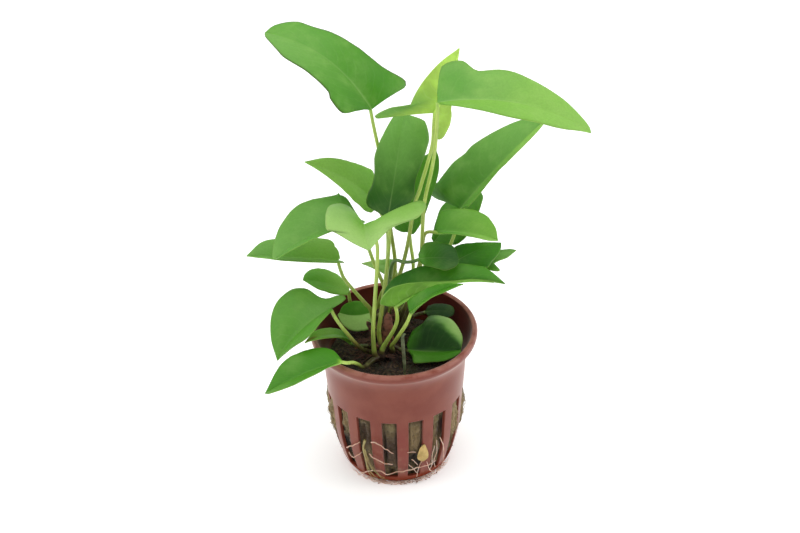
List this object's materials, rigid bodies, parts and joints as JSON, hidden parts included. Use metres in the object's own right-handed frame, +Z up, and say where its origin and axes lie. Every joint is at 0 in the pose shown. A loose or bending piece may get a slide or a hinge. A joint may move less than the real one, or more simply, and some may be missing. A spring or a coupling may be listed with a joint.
{
  "type": "potted aquarium plant",
  "caption": "Broad-leaved aquarium plant with long leaf stalks, rooted in a slotted net pot filled with growing wool.",
  "frame": {"origin": "centre of the pot's base, on the surface it stands on", "axes": "+Z up along the pot's axis; the side with the most leaves faces -Y"},
  "size_m": [0.0996, 0.0603, 0.1354],
  "materials": {
    "pot": "satin",
    "wool": "fibrous, damp",
    "rootstock": "rough",
    "leaf": "satin",
    "stalk": "satin",
    "root": "satin"
  },
  "bodies": {
    "root": {"pot": "pot", "wool": "wool", "rhizome": "rootstock", "leaf_01": "leaf", "leaf_02": "leaf", "leaf_03": "leaf", "leaf_04": "leaf", "leaf_05": "leaf", "leaf_06": "leaf", "leaf_07": "leaf", "leaf_08": "leaf", "leaf_09": "leaf", "leaf_10": "leaf", "leaf_11": "leaf", "leaf_12": "leaf", "leaf_13": "leaf", "leaf_14": "leaf", "leaf_15": "leaf", "leaf_16": "leaf", "leaf_17": "leaf", "leaf_18": "leaf", "leaf_19": "leaf", "leaf_20": "leaf", "leaf_21": "leaf", "leaf_22": "leaf", "leaf_23": "leaf", "leaf_24": "leaf", "leaf_25": "leaf", "stalk_01": "stalk", "stalk_02": "stalk", "stalk_03": "stalk", "stalk_04": "stalk", "stalk_05": "stalk", "stalk_06": "stalk", "stalk_07": "stalk", "stalk_08": "stalk", "stalk_09": "stalk", "stalk_10": "stalk", "stalk_11": "stalk", "stalk_12": "stalk", "stalk_13": "stalk", "stalk_14": "stalk", "stalk_15": "stalk", "stalk_16": "stalk", "stalk_17": "stalk", "stalk_18": "stalk", "stalk_19": "stalk", "stalk_20": "stalk", "stalk_21": "stalk", "stalk_22": "stalk", "stalk_23": "stalk", "stalk_24": "stalk", "stalk_25": "stalk", "root_1": "root", "root_2": "root", "root_3": "root", "root_4": "root", "root_5": "root", "root_6": "root", "root_7": "root"}
  },
  "joints": []
}
